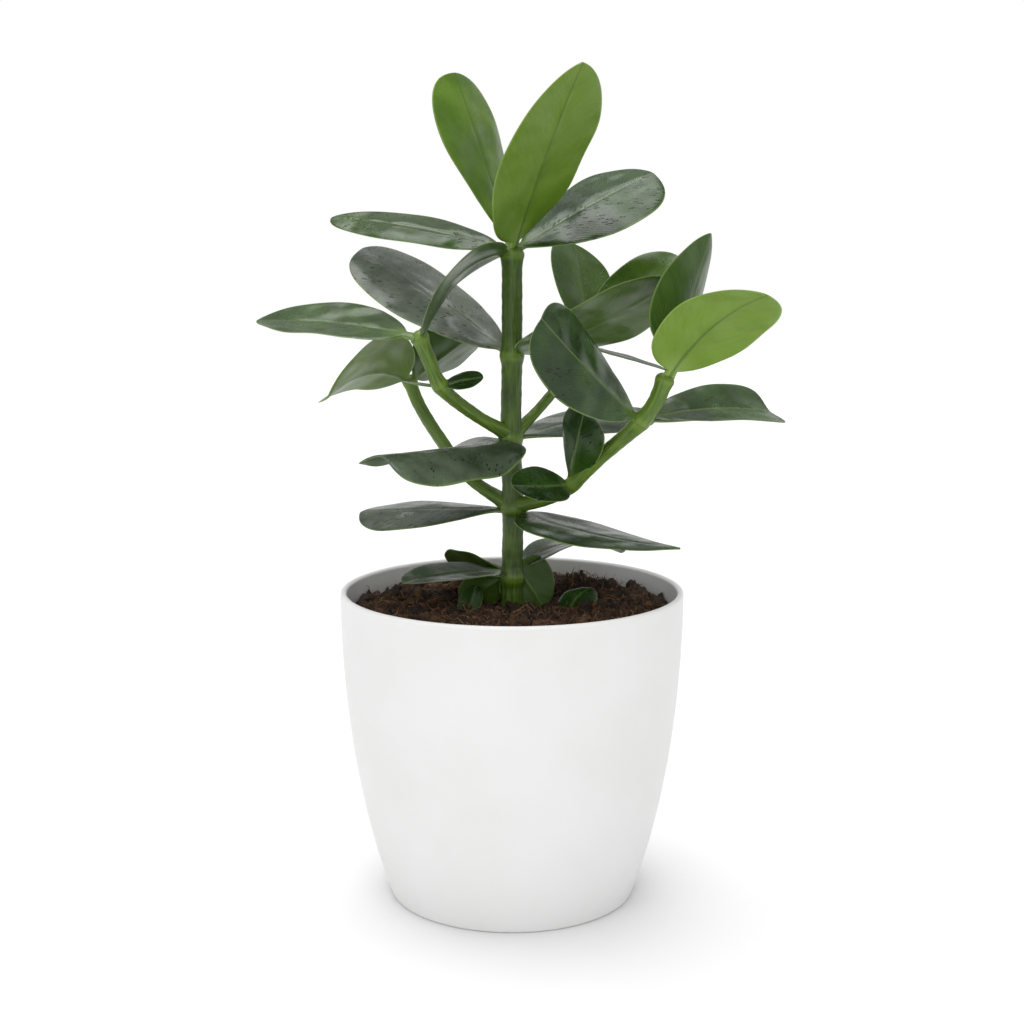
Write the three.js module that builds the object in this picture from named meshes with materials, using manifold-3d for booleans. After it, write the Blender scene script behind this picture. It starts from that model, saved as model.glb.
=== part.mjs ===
// A young clusia in a round indoor pot: the pot, the potting mix, a main stem with four side branches,
// and every leaf as its own piece. Millimetres, +Z up, origin at the centre of the pot's underside.
// Compass angles are in degrees in the XY plane: 0 is +X (right), 90 is +Y (back), -90 is the front.

import * as THREE from "three";
import { mergeVertices } from "three/addons/utils/BufferGeometryUtils.js";
import Module from "manifold-3d";

const wasm = await Module();
wasm.setup();

// ---------------------------------------------------------------- driving dimensions

const CLEARANCE = 0.3; // gap between pieces that touch

const POT = {
  height: 146,
  rimRadius: 80,
  footRadius: 57.5,
  footRounding: 2,
  wall: 3,
  floor: 4,
  grooveInner: 24, // the underside stands on a centre pad and an outer ring, with a groove between them
  grooveOuter: 46,
  grooveDepth: 1.2,
  segments: 48,
};

const SOIL = {
  belowRim: 9.5, // mean depth of the surface below the rim
  mound: 3.2, // height of the clods above and below that mean
  rings: 6,
  segments: 40,
};

const soilLevel = POT.height - SOIL.belowRim;

const STEM_FOOT_DEPTH = 45; // how far the main stem reaches down into the potting mix
const NODE_SWELL = 1.28; // thickening of a stem where its leaves sit
const NODE_SPAN = 5; // length of that thickening, each way

const LEAF = {
  thickness: 1.5,
  marginThickness: 0.9,
  petioleLength: 0.07, // share of the leaf's length
  petioleWidth: 4.6,
  petioleThickness: 2.6,
  rows: 8,
  columns: 4,
};

// ---------------------------------------------------------------- stems

// Heights of stems and leaves are above the mean level of the potting mix, so the plant goes up and down
// with it. Each stem is a smooth curve through its points, thinning from its foot to its top, and swells at
// its joint heights, where pairs of leaves sit.
const MAIN_STEM = {
  name: "main_stem",
  points: [
    [0, 5, -STEM_FOOT_DEPTH],
    [0, 5, 13.5],
    [0.5, 5, 46.5],
    [-0.5, 5, 79.5],
    [0, 5, 117.5],
    [0, 5, 163.5],
    [0, 5, 168.5],
  ],
  footRadius: 5.1,
  topRadius: 4.7,
  jointHeights: [13.5, 46.5, 79.5, 117.5, 163.5],
  sides: 10,
  steps: 28,
};

const BRANCHES = [
  {
    name: "branch_low_left",
    points: [[0, 5, 47.5], [-19, 16, 58.5], [-34, 24, 76.5], [-45, 31, 93.5], [-50, 34, 106.5]],
    footRadius: 3,
    topRadius: 3.1,
    jointHeights: [103.5],
  },
  {
    name: "branch_low_right",
    points: [
      [0, 5, 47.5],
      [17, -4, 52.5],
      [27, -10, 59.5],
      [40, -18, 73.5],
      [56, -28, 89.5],
      [63, -32, 99.5],
      [68, -34, 112.5],
    ],
    footRadius: 2.8,
    topRadius: 3.8,
    jointHeights: [59.5, 90.5, 110.5],
  },
  {
    name: "branch_mid_left",
    points: [[0, 5, 80.5], [-17, -6, 91.5], [-32, -17, 105.5], [-37, -21, 117.5], [-42, -24, 130.5]],
    footRadius: 2.7,
    topRadius: 3.5,
    jointHeights: [105.5, 127.5],
  },
  {
    name: "branch_mid_right",
    points: [[0, 5, 80.5], [10, 12, 89.5], [21, 20, 101.5], [37, 31, 122.5]],
    footRadius: 2.4,
    topRadius: 2.4,
    jointHeights: [119.5],
  },
];

// ---------------------------------------------------------------- leaves

// from: the point inside its stem where a leaf starts. heading: compass angle it leaves at. rise: angle above
// the horizontal at its base, and droop: how far that falls by the tip. sway: turn of the heading from base to
// tip. roll: tilt of the blade about its midrib at the base, and twist: how far that turns by the tip. cup:
// angle each half rises from flat. base and tip: outline exponents, small for blunt and near 1 for pointed.
const TOP = [0, 5, 164.5];
const UPPER = [0, 5, 117.5];
const MID = [0, 5, 78.5];
const LOW = [0, 5, 45.5];
const FOOT = [0, 5, 15.5];
const LOW_LEFT_END = [-49, 33, 103.5];
const MID_LEFT_JOINT = [-32, -17, 105.5];
const MID_LEFT_END = [-42, -24, 127.5];
const LOW_RIGHT_JOINT = [27, -10, 59.5];
const LOW_RIGHT_FORK = [57, -28, 90.5];
const LOW_RIGHT_END = [68, -34, 110.5];
const MID_RIGHT_END = [37, 31, 119.5];

const LEAVES = [
  {
    name: "leaf_crown_front", from: TOP, heading: -68, rise: 52, droop: 9, sway: 4, roll: 31, twist: -22,
    length: 105, width: 53, cup: -3, base: 0.5, tip: 0.65, young: true,
  },
  {
    name: "leaf_crown_back", from: TOP, heading: 154, rise: 72, droop: 4, roll: -4, twist: -8,
    length: 86, width: 46, cup: -6, base: 0.8, tip: 0.42,
  },
  {
    name: "leaf_top_left", from: TOP, heading: 156, rise: 17, droop: 15, roll: -28,
    length: 96, width: 26, cup: -4, base: 0.6, tip: 0.48,
  },
  {
    name: "leaf_top_right", from: TOP, heading: 14, rise: 32, droop: 9, sway: 12, roll: 25,
    length: 79, width: 50, cup: -8, base: 0.7, tip: 0.42,
  },
  {
    name: "leaf_top_curled", from: TOP, heading: -136, rise: 3, droop: 74, sway: -6, roll: 30, twist: 12,
    length: 69, width: 40, cup: -2, base: 0.65, tip: 0.5,
  },
  {
    name: "leaf_upper_left", from: UPPER, heading: 154, rise: 34, droop: 5, roll: -20,
    length: 93, width: 47, cup: -8, base: 0.6, tip: 0.36,
  },
  {
    name: "leaf_upper_right", from: UPPER, heading: -22, rise: 17, droop: -15, roll: -8, twist: -22,
    length: 84, width: 54, cup: -2, base: 0.32, tip: 0.44,
  },
  {
    name: "leaf_mid_left", from: MID, heading: -134, rise: -2, droop: -4, roll: -4, twist: -4,
    length: 81, width: 48, cup: -24, base: 0.16, tip: 0.25,
  },
  {
    name: "leaf_mid_right", from: MID, heading: 40, rise: 11, droop: 11, roll: 3, twist: 9,
    length: 88, width: 44, cup: -6, base: 0.65, tip: 0.5,
  },
  {
    name: "leaf_mid_back", from: MID, heading: 160, rise: -15, droop: 12, roll: 5,
    length: 38, width: 18, cup: 0, base: 0.7, tip: 0.6,
  },
  {
    name: "leaf_low_left", from: LOW, heading: 166, rise: 0, droop: 6, sway: 6, roll: -11,
    length: 74, width: 40, cup: -8, base: 1, tip: 0.46,
  },
  {
    name: "leaf_low_right", from: LOW, heading: -33, rise: -13, droop: -14, roll: 1,
    length: 89, width: 44, cup: -3, base: 0.42, tip: 0.9,
  },
  {
    name: "leaf_foot_left", from: FOOT, heading: -151, rise: 9, droop: 16, roll: -8,
    length: 57, width: 25, cup: 8, base: 0.56, tip: 0.5,
  },
  {
    name: "leaf_foot_right", from: FOOT, heading: 40, rise: 30, droop: 58, roll: -4,
    length: 74, width: 30, cup: 8, base: 0.56, tip: 0.54,
  },
  {
    name: "leaf_foot_back", from: FOOT, heading: 132, rise: 0, droop: 4, roll: 34,
    length: 46, width: 30, cup: 5, base: 0.6, tip: 0.6,
  },
  {
    name: "leaf_foot_hanging_right", from: [0, 5, 20.5], heading: 5, rise: -50, droop: 12, roll: -95,
    length: 27, width: 27, cup: 8, base: 0.3, tip: 0.55,
  },
  {
    name: "leaf_foot_hanging_left", from: FOOT, heading: 170, rise: -25, droop: 20, roll: 75,
    length: 29, width: 19, cup: 6, base: 0.6, tip: 0.5,
  },
  {
    name: "leaf_soil_left", from: [-22, -5, -6.5], heading: 65, rise: 58, droop: 10, roll: -5,
    length: 20, width: 13, cup: 8, base: 0.6, tip: 0.6,
  },
  {
    name: "leaf_soil_right", from: [24, -4, -6.5], heading: 50, rise: 62, droop: 60, roll: 10,
    length: 26, width: 18, cup: -10, base: 0.5, tip: 0.45,
  },
  {
    name: "leaf_low_branch_left", from: LOW_LEFT_END, heading: -124, rise: 26, droop: 58, roll: 40,
    length: 63, width: 48, cup: 11, base: 0.6, tip: 0.5,
  },
  {
    name: "leaf_low_branch_right", from: LOW_LEFT_END, heading: 8, rise: 40, droop: 10, roll: -39,
    length: 42, width: 49, cup: 12, base: 0.6, tip: 0.4,
  },
  {
    name: "leaf_mid_branch_end", from: MID_LEFT_END, heading: 163, rise: 12, droop: 15, roll: -18,
    length: 78, width: 41, cup: 7, base: 0.64, tip: 0.7,
  },
  {
    name: "leaf_mid_branch_right", from: MID_LEFT_JOINT, heading: -10, rise: 17, droop: 10, roll: 38,
    length: 20, width: 12, cup: 0, base: 0.8, tip: 0.6,
  },
  {
    name: "leaf_mid_branch_left", from: MID_LEFT_JOINT, heading: 170, rise: 6, droop: 0, roll: 10,
    length: 18, width: 8, cup: 0, base: 0.8, tip: 0.6,
  },
  {
    name: "leaf_right_oval", from: LOW_RIGHT_JOINT, heading: -74, rise: 67, droop: 9, roll: -59,
    length: 40, width: 26, cup: 12, base: 0.9, tip: 0.46,
  },
  {
    name: "leaf_right_inward", from: LOW_RIGHT_JOINT, heading: -141, rise: 2, droop: -6, roll: -44,
    length: 35, width: 21, cup: 8, base: 0.4, tip: 0.5,
  },
  {
    name: "leaf_right_inner", from: LOW_RIGHT_FORK, heading: -134, rise: 32, droop: -12, sway: -8, roll: 107,
    twist: -5, length: 77, width: 40, cup: 11, base: 0.75, tip: 0.36,
  },
  {
    name: "leaf_right_outer", from: LOW_RIGHT_FORK, heading: 28, rise: 12, droop: 22, roll: 24,
    length: 71, width: 37, cup: 10, base: 0.62, tip: 0.24,
  },
  {
    name: "leaf_right_bright", from: LOW_RIGHT_END, heading: -52, rise: 51, droop: 36, roll: -19,
    length: 70, width: 46, cup: -3, base: 0.46, tip: 0.42, young: true,
  },
  {
    name: "leaf_right_upright", from: LOW_RIGHT_END, heading: -18, rise: 74, roll: 160,
    length: 65, width: 41, cup: -18, base: 0.7, tip: 0.75,
  },
  {
    name: "leaf_back_tall", from: MID_RIGHT_END, heading: 100, rise: 61, droop: 16, roll: 30,
    length: 61, width: 40, cup: 5, base: 0.7, tip: 0.46, young: true,
  },
  {
    name: "leaf_back_wide", from: MID_RIGHT_END, heading: 21, rise: 48, droop: 10, roll: 33,
    length: 63, width: 36, cup: 9, base: 0.6, tip: 0.52, young: true,
  },
  {
    name: "leaf_back_thin", from: MID_RIGHT_END, heading: -15, rise: -10, droop: 10, roll: 0,
    length: 40, width: 14, cup: 0, base: 0.6, tip: 0.8,
  },
];

// ---------------------------------------------------------------- small helpers

const radians = THREE.MathUtils.degToRad;
const lerp = THREE.MathUtils.lerp;
const clamp = THREE.MathUtils.clamp;

function material(color, roughness) {
  return new THREE.MeshStandardMaterial({ color, roughness, metalness: 0 });
}

const MATERIALS = {
  pot: material(0xececec, 0.45),
  soil: material(0x3b2416, 0.95),
  stem: material(0x4a6a2a, 0.5),
  leaf: material(0x3c5f3a, 0.35),
  youngLeaf: material(0x6b9a34, 0.4),
};

// Moves every vertex of a closed geometry to place(x, y, z), and drops what no longer fits it.
function reshape(geometry, place) {
  const position = geometry.getAttribute("position");
  const point = new THREE.Vector3();
  for (let i = 0; i < position.count; i += 1) {
    point.fromBufferAttribute(position, i);
    const moved = place(point.x, point.y, point.z);
    position.setXYZ(i, moved.x, moved.y, moved.z);
  }
  geometry.deleteAttribute("normal");
  geometry.deleteAttribute("uv");
  return mergeVertices(geometry, 1e-4);
}

function toManifold(geometry) {
  const clean = geometry.clone();
  clean.deleteAttribute("normal");
  clean.deleteAttribute("uv");
  const merged = mergeVertices(clean, 1e-4);
  return new wasm.Manifold(
    new wasm.Mesh({
      numProp: 3,
      vertProperties: merged.getAttribute("position").array,
      triVerts: new Uint32Array(merged.index.array),
    }),
  );
}

function fromManifold(solid) {
  const mesh = solid.getMesh();
  const geometry = new THREE.BufferGeometry();
  geometry.setAttribute("position", new THREE.BufferAttribute(mesh.vertProperties, 3));
  geometry.setIndex(new THREE.BufferAttribute(mesh.triVerts, 1));
  return geometry;
}

const plant = new THREE.Group();

function addPiece(name, geometry, finish) {
  const flat = geometry.toNonIndexed();
  flat.computeVertexNormals();
  const mesh = new THREE.Mesh(flat, finish);
  mesh.name = name;
  plant.add(mesh);
}

// ---------------------------------------------------------------- pot

// The outside is a quarter of an ellipse, widest at the rim and cut off at the foot.
function potRadius(height) {
  const bulge = POT.height / Math.sqrt(1 - (POT.footRadius / POT.rimRadius) ** 2);
  return POT.rimRadius * Math.sqrt(1 - ((POT.height - height) / bulge) ** 2);
}

function potGeometry() {
  const lip = POT.wall / 2;
  const wallSteps = 7;
  const profile = [
    [0, 0],
    [POT.grooveInner - POT.grooveDepth, 0],
    [POT.grooveInner, POT.grooveDepth],
    [POT.grooveOuter, POT.grooveDepth],
    [POT.grooveOuter + POT.grooveDepth, 0],
    [potRadius(0) - POT.footRounding, 0],
    [potRadius(POT.footRounding / 2) - POT.footRounding * 0.3, POT.footRounding * 0.3],
  ];
  for (let i = 0; i <= wallSteps; i += 1) {
    const height = lerp(POT.footRounding, POT.height - lip, i / wallSteps);
    profile.push([potRadius(height), height]);
  }
  profile.push([POT.rimRadius - lip, POT.height]);
  for (let i = wallSteps; i >= 0; i -= 1) {
    const height = lerp(POT.floor + POT.wall, POT.height - lip, i / wallSteps);
    profile.push([potRadius(height) - POT.wall, height]);
  }
  profile.push([potRadius(POT.floor) - 2 * POT.wall, POT.floor], [0, POT.floor]);
  return uprightLathe(profile, POT.segments);
}

// LatheGeometry turns its profile about Y; this stands the result up along Z.
function uprightLathe(profile, segments) {
  const points = profile.map(([radius, height]) => new THREE.Vector2(radius, height));
  return new THREE.LatheGeometry(points, segments).rotateX(Math.PI / 2);
}

// ---------------------------------------------------------------- potting mix

// Rounded clods: sums of waves that don't line up, fading out at the wall.
function soilHeight(x, y) {
  const waves =
    Math.sin(x * 0.21 + 1.3) * Math.cos(y * 0.17 - 0.6) +
    0.6 * Math.sin(x * 0.37 - y * 0.29 + 2.1) +
    0.4 * Math.cos(x * 0.11 + y * 0.43);
  return soilLevel + (SOIL.mound * waves) / 2;
}

function soilGeometry() {
  const profile = [[0, POT.floor + CLEARANCE]];
  const sideSteps = 6;
  const bottom = POT.floor + POT.wall;
  profile.push([potRadius(POT.floor) - 2 * POT.wall - CLEARANCE, POT.floor + CLEARANCE]);
  for (let i = 0; i <= sideSteps; i += 1) {
    const height = lerp(bottom, soilLevel, i / sideSteps);
    profile.push([potRadius(height) - POT.wall - 2 * CLEARANCE, height]);
  }
  const edge = potRadius(soilLevel) - POT.wall - 2 * CLEARANCE;
  for (let i = SOIL.rings - 1; i >= 0; i -= 1) profile.push([(edge * i) / SOIL.rings, soilLevel]);
  return reshape(uprightLathe(profile, SOIL.segments), (x, y, z) => {
    const onTop = z > soilLevel - 0.01;
    return new THREE.Vector3(x, y, onTop ? soilHeight(x, y) : z);
  });
}

// ---------------------------------------------------------------- stems

function abovePottingMix([x, y, height]) {
  return new THREE.Vector3(x, y, soilLevel + height);
}

function stemCurve(stem) {
  return new THREE.CatmullRomCurve3(stem.points.map(abovePottingMix));
}

// Thins from foot to top, and swells where leaves sit.
function stemRadius(stem, share, height) {
  const plain = lerp(stem.footRadius, stem.topRadius, share);
  const swell = Math.max(
    0,
    ...stem.jointHeights.map((joint) => 1 - Math.abs(height - joint) / NODE_SPAN),
  );
  return plain * (1 + (NODE_SWELL - 1) * swell);
}

function stemGeometry(stem, margin = 0) {
  const curve = stemCurve(stem);
  const steps = stem.steps ?? 14;
  const frames = curve.computeFrenetFrames(steps, false);
  const unit = new THREE.CylinderGeometry(1, 1, 1, stem.sides ?? 9, steps);
  return reshape(unit, (x, y, z) => {
    const share = clamp(y + 0.5, 0, 1);
    const step = Math.round(share * steps);
    const centre = curve.getPointAt(share);
    const radius = stemRadius(stem, share, centre.z - soilLevel) + margin;
    const end = margin * Math.sign(y) * (step === 0 || step === steps ? 1 : 0);
    return centre
      .addScaledVector(frames.normals[step], z * radius)
      .addScaledVector(frames.binormals[step], x * radius)
      .addScaledVector(frames.tangents[step], end);
  });
}

// ---------------------------------------------------------------- leaves

// Half-width of the blade as a share of its widest, from base (0) to tip (1).
function outline(leaf, share) {
  const widest = leaf.base / (leaf.base + leaf.tip);
  const peak = widest ** leaf.base * (1 - widest) ** leaf.tip;
  return (share ** leaf.base * (1 - share) ** leaf.tip) / peak;
}

// The midrib: its point and its three directions at a share of the leaf's length.
function midrib(leaf, share) {
  const steps = 24;
  const { droop = 0, sway = 0, twist = 0 } = leaf;
  const point = abovePottingMix(leaf.from);
  const along = new THREE.Vector3();
  const direction = (at) => {
    const rise = radians(leaf.rise - droop * at);
    const heading = radians(leaf.heading + sway * at);
    return along.set(
      Math.cos(rise) * Math.cos(heading),
      Math.cos(rise) * Math.sin(heading),
      Math.sin(rise),
    );
  };
  for (let i = 0; i < steps; i += 1) {
    point.addScaledVector(direction((share * (i + 0.5)) / steps), (leaf.length * share) / steps);
  }
  direction(share);
  const heading = radians(leaf.heading + sway * share);
  const left = new THREE.Vector3(-Math.sin(heading), Math.cos(heading), 0);
  left.applyAxisAngle(along, radians(leaf.roll + twist * share));
  const up = new THREE.Vector3().crossVectors(along, left);
  return { point, along: along.clone(), left, up };
}

// A point of the leaf: across runs -1 to 1 over the blade, and through -0.5 to 0.5 over its thickness.
function leafPoint(leaf, share, across, through, margin) {
  const { point, left, up } = midrib(leaf, share);
  const blade = clamp((share - LEAF.petioleLength) / (1 - LEAF.petioleLength), 0, 1);
  const bladeWidth = (leaf.width / 2) * (blade > 0 ? outline(leaf, Math.min(blade, 0.995)) : 0);
  const half = Math.max(bladeWidth, (LEAF.petioleWidth / 2) * (1 - 0.75 * share)) + margin;
  const cup = radians(leaf.cup) * clamp(blade * 4, 0, 1);
  const sideways = half * across * Math.cos(cup);
  const lift = half * Math.abs(across) * Math.sin(cup);
  const middle = lerp(LEAF.petioleThickness, LEAF.thickness, clamp(share * 4, 0, 1));
  const thickness = lerp(middle, LEAF.marginThickness, Math.abs(across) ** 2) + 2 * margin;
  return point
    .addScaledVector(left, sideways)
    .addScaledVector(up, lift + through * thickness);
}

function leafGeometry(leaf, margin = 0) {
  const unit = new THREE.BoxGeometry(1, 2, 1, LEAF.rows, LEAF.columns, 1);
  return reshape(unit, (x, y, z) => leafPoint(leaf, x + 0.5, y, z, margin));
}

// ---------------------------------------------------------------- assembly

// What is left of a piece around its neighbours: the largest body, so that no crumb stays behind a cut.
function trimmed(solid, neighbours) {
  const bodies = solid.subtract(neighbours).decompose();
  return bodies.reduce((most, body) => (body.volume() > most.volume() ? body : most));
}

addPiece("pot", potGeometry(), MATERIALS.pot);

const mainStem = toManifold(stemGeometry(MAIN_STEM));
const mainStemRoom = toManifold(stemGeometry(MAIN_STEM, CLEARANCE));
addPiece(MAIN_STEM.name, fromManifold(mainStem), MATERIALS.stem);

let room = mainStemRoom; // everything placed so far, with the clearance round it
for (const branch of BRANCHES) {
  const solid = trimmed(toManifold(stemGeometry(branch)), mainStemRoom);
  addPiece(branch.name, fromManifold(solid), MATERIALS.stem);
  room = room.add(toManifold(stemGeometry(branch, CLEARANCE)));
}

for (const leaf of LEAVES) {
  const solid = trimmed(toManifold(leafGeometry(leaf)), room);
  addPiece(leaf.name, fromManifold(solid), leaf.young ? MATERIALS.youngLeaf : MATERIALS.leaf);
  room = room.add(toManifold(leafGeometry(leaf, CLEARANCE)));
}

addPiece("potting_mix", fromManifold(trimmed(toManifold(soilGeometry()), room)), MATERIALS.soil);

export default plant;
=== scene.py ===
"""Looks for the potted clusia: a satin white pot, coir potting mix, green stems and thick glossy leaves."""
import math
import random

import bmesh
import bpy
import numpy as np
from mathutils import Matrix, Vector, noise


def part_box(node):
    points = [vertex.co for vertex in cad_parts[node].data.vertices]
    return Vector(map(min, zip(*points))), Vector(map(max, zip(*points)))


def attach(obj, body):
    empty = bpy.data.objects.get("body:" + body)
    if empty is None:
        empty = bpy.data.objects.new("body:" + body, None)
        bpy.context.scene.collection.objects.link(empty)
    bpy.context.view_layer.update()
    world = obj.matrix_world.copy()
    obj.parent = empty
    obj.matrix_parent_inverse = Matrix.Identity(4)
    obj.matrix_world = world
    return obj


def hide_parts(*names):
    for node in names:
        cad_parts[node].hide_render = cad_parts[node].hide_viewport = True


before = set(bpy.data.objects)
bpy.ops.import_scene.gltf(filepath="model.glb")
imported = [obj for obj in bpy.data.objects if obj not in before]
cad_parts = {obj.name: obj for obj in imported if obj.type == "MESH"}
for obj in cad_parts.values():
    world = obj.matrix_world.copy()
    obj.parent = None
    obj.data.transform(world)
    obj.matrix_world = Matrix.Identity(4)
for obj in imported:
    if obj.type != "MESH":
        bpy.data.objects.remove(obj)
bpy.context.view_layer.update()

MM = 0.001


# ------------------------------------------------------------------ camera, floor and light

CAMERA_DISTANCE = 0.7563  # in front of the pot's axis
CAMERA_HEIGHT = 0.3062
CAMERA_PITCH = 9.33  # degrees below the horizon
CAMERA_LENS = 58.0


def add_camera():
    data = bpy.data.cameras.new("camera")
    data.lens = CAMERA_LENS
    data.sensor_width = 36
    camera = bpy.data.objects.new("camera", data)
    camera.location = (0, -CAMERA_DISTANCE, CAMERA_HEIGHT)
    camera.rotation_euler = (math.radians(90 - CAMERA_PITCH), 0, 0)
    bpy.context.collection.objects.link(camera)
    bpy.context.scene.camera = camera


# The studio: a pale backdrop low down all round, a dimmer room above it, and broad soft lamps.
BACKDROP = 1.0
ROOM = 0.5
BACKDROP_TOP = 0.18  # the backdrop fades into the room between these two sines of the angle above the horizon
ROOM_FROM = 0.42
FLOOR_RADIUS = 4
FLOOR_TONE = 0.84


def add_lamp(name, direction, spread, strength):
    """A far, soft lamp: the side it shines from, how many degrees wide it is, and its strength."""
    data = bpy.data.lights.new(name, "SUN")
    data.angle = math.radians(spread)
    data.energy = strength
    lamp = bpy.data.objects.new(name, data)
    lamp.rotation_euler = (-Vector(direction)).to_track_quat("-Z", "Y").to_euler()
    bpy.context.collection.objects.link(lamp)


def add_world():
    world = bpy.data.worlds.new("studio")
    world.use_nodes = True
    nodes, links = world.node_tree.nodes, world.node_tree.links
    direction = nodes.new("ShaderNodeTexCoord").outputs["Generated"]
    parts = nodes.new("ShaderNodeSeparateXYZ")
    links.new(direction, parts.inputs[0])
    low = nodes.new("ShaderNodeMapRange")
    low.interpolation_type = "SMOOTHSTEP"
    low.inputs["From Min"].default_value = ROOM_FROM
    low.inputs["From Max"].default_value = BACKDROP_TOP
    links.new(parts.outputs["Z"], low.inputs["Value"])
    level = nodes.new("ShaderNodeMapRange")
    level.inputs["To Min"].default_value = ROOM
    level.inputs["To Max"].default_value = BACKDROP
    links.new(low.outputs["Result"], level.inputs["Value"])
    links.new(level.outputs["Result"], nodes["Background"].inputs["Strength"])
    nodes["Background"].inputs["Color"].default_value = (1, 1, 1, 1)
    bpy.context.scene.world = world


def add_studio():
    add_world()
    bpy.context.scene.view_settings.view_transform = "Standard"
    add_lamp("front_box", direction=(-0.12, -0.9, 0.8), spread=60, strength=1.0)
    add_lamp("overhead_box", direction=(-0.05, 0.16, 1.0), spread=46, strength=2.0)
    bpy.ops.mesh.primitive_circle_add(vertices=96, radius=FLOOR_RADIUS, fill_type="NGON")
    floor = bpy.context.object
    floor.name = "floor"
    floor.data.materials.append(floor_material())


# ------------------------------------------------------------------ material helpers

MIX_COLOR_INPUTS = (0, 6, 7)  # a Mix node's factor and two colours, among its sockets for every data type
MIX_COLOR_OUTPUT = 2


class Graph:
    """A material's node tree, with short calls for the nodes used here."""

    def __init__(self, name):
        self.material = bpy.data.materials.new(name)
        self.material.use_nodes = True
        self.tree = self.material.node_tree
        self.shader = self.tree.nodes["Principled BSDF"]

    def put(self, socket, value):
        if isinstance(value, bpy.types.NodeSocket):
            self.tree.links.new(value, socket)
        else:
            socket.default_value = value

    def node(self, kind, inputs=None, **settings):
        made = self.tree.nodes.new(kind)
        for key, value in settings.items():
            setattr(made, key, value)
        for key, value in (inputs or {}).items():
            self.put(made.inputs[key], value)
        return made

    def math(self, operation, first, second=0.0, third=0.0):
        inputs = {0: first, 1: second, 2: third}
        return self.node("ShaderNodeMath", inputs, operation=operation).outputs[0]

    def mix(self, factor, first, second):
        """A colour between first (factor 0) and second (factor 1)."""
        inputs = dict(zip(MIX_COLOR_INPUTS, (factor, first, second)))
        return self.node("ShaderNodeMix", inputs, data_type="RGBA").outputs[MIX_COLOR_OUTPUT]

    def fade(self, value, start, end):
        """0 where value is at start, 1 where it is at end, smooth between."""
        inputs = {"Value": value, "From Min": start, "From Max": end}
        made = self.node("ShaderNodeMapRange", inputs, interpolation_type="SMOOTHSTEP")
        return made.outputs["Result"]

    def attribute(self, name):
        return self.node("ShaderNodeAttribute", attribute_name=name).outputs["Vector"]

    def split(self, vector):
        return self.node("ShaderNodeSeparateXYZ", {0: vector}).outputs

    def join(self, x, y, z):
        return self.node("ShaderNodeCombineXYZ", {0: x, 1: y, 2: z}).outputs[0]

    def noise(self, vector, scale, detail=4.0, roughness=0.55):
        inputs = {"Vector": vector, "Scale": scale, "Detail": detail, "Roughness": roughness}
        return self.node("ShaderNodeTexNoise", inputs).outputs["Fac"]

    def place(self):
        return self.node("ShaderNodeTexCoord").outputs["Object"]

    def bump(self, height, distance, strength=1.0, normal=None):
        inputs = {"Height": height, "Distance": distance, "Strength": strength}
        if normal is not None:
            inputs["Normal"] = normal
        return self.node("ShaderNodeBump", inputs).outputs["Normal"]

    def finish(self, **sockets):
        names = {"color": "Base Color", "roughness": "Roughness", "normal": "Normal"}
        for key, value in sockets.items():
            self.put(self.shader.inputs[names[key]], value)
        return self.material


def rgb(red, green, blue):
    return (red, green, blue, 1.0)


def floor_material():
    g = Graph("floor_paper")
    grain = g.noise(g.place(), 40.0)
    rough = g.math("MULTIPLY_ADD", grain, 0.1, 0.75)
    return g.finish(color=rgb(FLOOR_TONE, FLOOR_TONE, FLOOR_TONE), roughness=rough)


def pot_material():
    g = Graph("pot_satin_white_plastic")
    place = g.place()
    cloud = g.noise(place, 18.0, 3.0)
    grain = g.noise(place, 1600.0, 2.0)
    color = g.mix(g.fade(cloud, 0.3, 0.7), rgb(0.73, 0.73, 0.725), rgb(0.76, 0.76, 0.76))
    rough = g.math("MULTIPLY_ADD", cloud, 0.1, 0.36)
    normal = g.bump(grain, 0.00006, 0.5)
    g.shader.inputs["Subsurface Weight"].default_value = 0.3
    g.shader.inputs["Subsurface Radius"].default_value = (0.004, 0.004, 0.004)
    return g.finish(color=color, roughness=rough, normal=normal)


def soil_material(name, dark, light, scale=260.0):
    """Coir or peat, mottled between two tones. The tint attribute moves a whole clod or fibre to either."""
    g = Graph(name)
    place = g.place()
    coarse = g.noise(place, scale * 0.3, 5.0, 0.65)
    fine = g.noise(place, scale * 4.0, 5.0, 0.7)
    tint = g.split(g.attribute("tint"))[0]
    shade = g.math("MULTIPLY_ADD", g.math("ADD", coarse, tint), 0.7, g.math("MULTIPLY", fine, 0.5))
    color = g.mix(g.fade(shade, 0.45, 1.25), dark, light)
    normal = g.bump(fine, 0.0006, 0.9, g.bump(coarse, 0.0015, 0.6))
    return g.finish(color=color, roughness=g.math("MULTIPLY_ADD", fine, 0.2, 0.78), normal=normal)


# A stem's two tones, each for an old stem and for a young one, and the tones of its details
STEM_DARK = (rgb(0.02, 0.045, 0.003), rgb(0.065, 0.13, 0.01))
STEM_LIGHT = (rgb(0.07, 0.135, 0.008), rgb(0.15, 0.25, 0.025))
STEM_GRAIN = rgb(0.11, 0.12, 0.04)
STEM_JOINT = rgb(0.17, 0.29, 0.03)
STEM_SCAR = rgb(0.07, 0.05, 0.02)
STEM_WART = rgb(0.012, 0.02, 0.006)


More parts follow.
